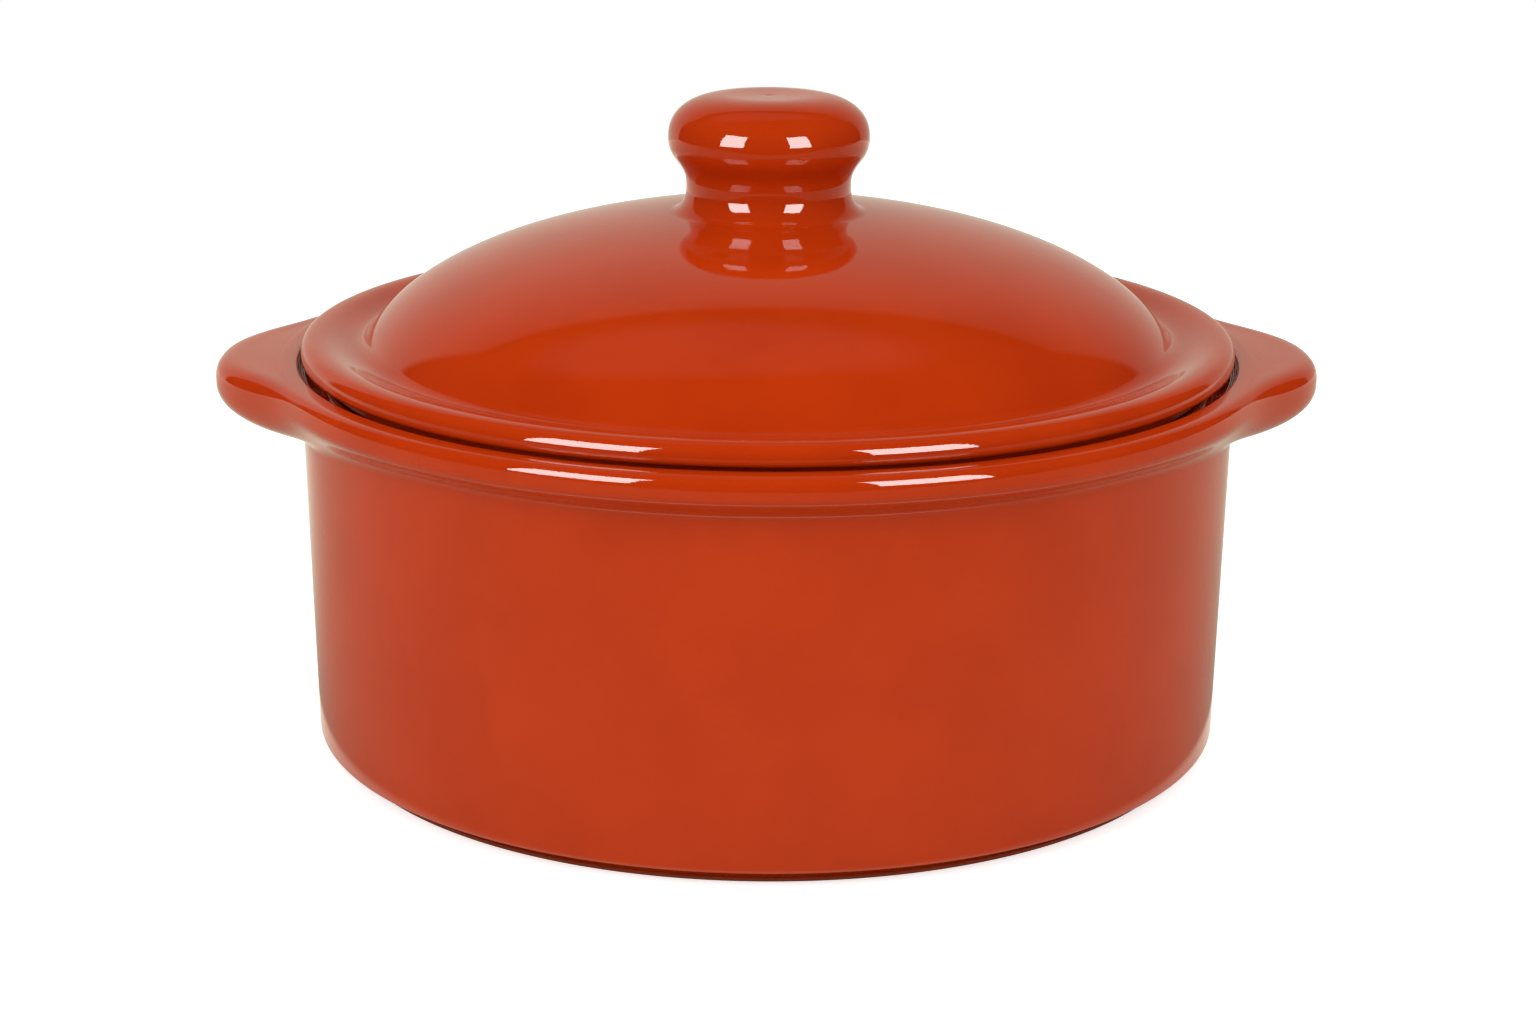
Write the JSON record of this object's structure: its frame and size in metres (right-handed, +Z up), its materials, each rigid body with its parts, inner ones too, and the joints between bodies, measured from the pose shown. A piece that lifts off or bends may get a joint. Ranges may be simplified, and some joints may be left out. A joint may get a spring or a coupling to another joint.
{
  "type": "clay casserole pot",
  "caption": "Round straight-walled casserole of glazed clay with a beaded rim, lug handles, and a loose domed lid that drops into a gallery inside the rim and lifts off by its turned knob.",
  "frame": {"origin": "centre of the foot, on the surface the pot stands on", "axes": "+X towards the right handle, +Z up along the axis of the pot, lid and knob"},
  "size_m": [0.2826, 0.253, 0.1666],
  "materials": {
    "glaze": "clear glossy glaze over red-orange clay",
    "bare_clay": "unglazed fired clay"
  },
  "bodies": {
    "pot": {"pot_body": "glaze", "foot_ring": "bare_clay", "left_handle": "glaze", "right_handle": "glaze"},
    "lid": {"lid": "glaze", "lid_knob": "glaze"}
  },
  "joints": [
    {"name": "lid_lift", "type": "slide", "parent": "pot", "child": "lid", "axis": [0, 0, 1], "range_m": [0, 0.15]}
  ]
}
